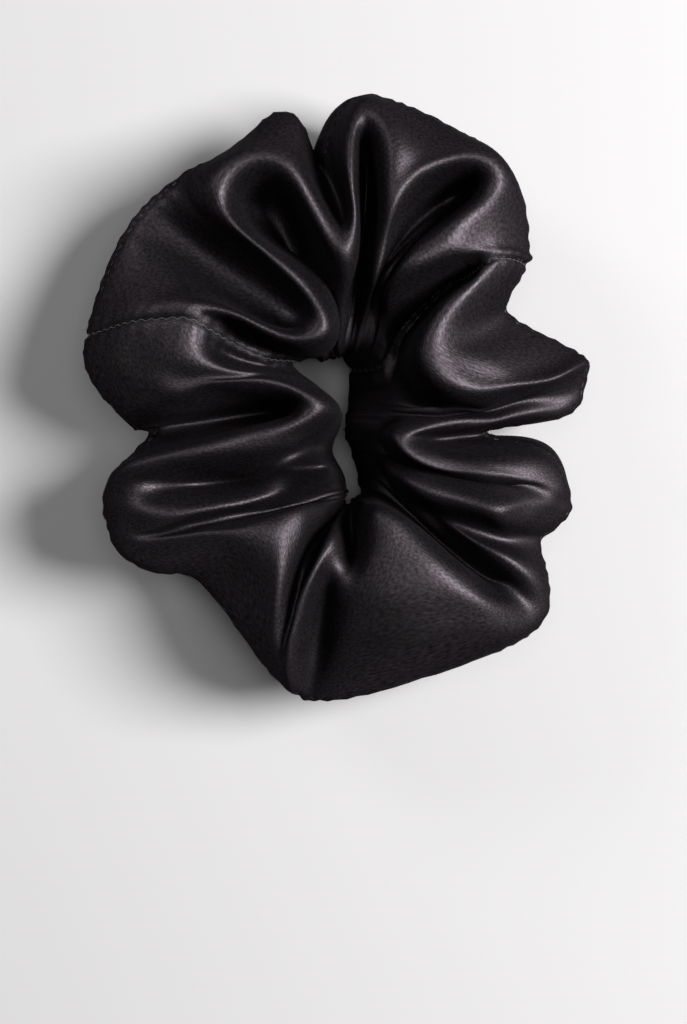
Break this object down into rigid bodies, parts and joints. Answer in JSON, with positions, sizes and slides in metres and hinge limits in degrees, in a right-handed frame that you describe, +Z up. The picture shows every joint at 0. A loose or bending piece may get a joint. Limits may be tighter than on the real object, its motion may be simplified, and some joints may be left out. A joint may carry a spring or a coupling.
{
  "type": "scrunchie",
  "caption": "Oversized gathered satin hair scrunchie: a two-panel fabric sleeve sewn round a flat elastic loop that stretches open and returns.",
  "frame": {"origin": "under the centre of the scrunchie's box, on the surface that it lies on", "axes": "+Z up along the ring's axis, +Y along the longer way across it, towards the short panel, +X across it"},
  "size_m": [0.1418, 0.17, 0.0625],
  "materials": {
    "satin": "black satin weave with a soft broad sheen",
    "elastic": "matt black braided elastic",
    "thread": "black spun polyester sewing thread"
  },
  "bodies": {
    "lower_ring": {"long_panel": "satin", "elastic_band": "elastic", "elastic_whipstitch": "thread", "edge_seam_needle_thread": "thread", "edge_seam_bobbin_thread": "thread", "joining_seam_needle_thread": "thread", "joining_seam_bobbin_thread": "thread", "closing_seam_thread": "thread"},
    "upper_ring": {"short_panel": "satin"}
  },
  "joints": [
    {"name": "stretch", "type": "slide", "parent": "lower_ring", "child": "upper_ring", "axis": [0, 1, 0], "range_m": [0, 0.06], "stiffness_N_per_m": 80, "deforming": ["elastic_band", "edge_seam_needle_thread", "edge_seam_bobbin_thread"]}
  ]
}
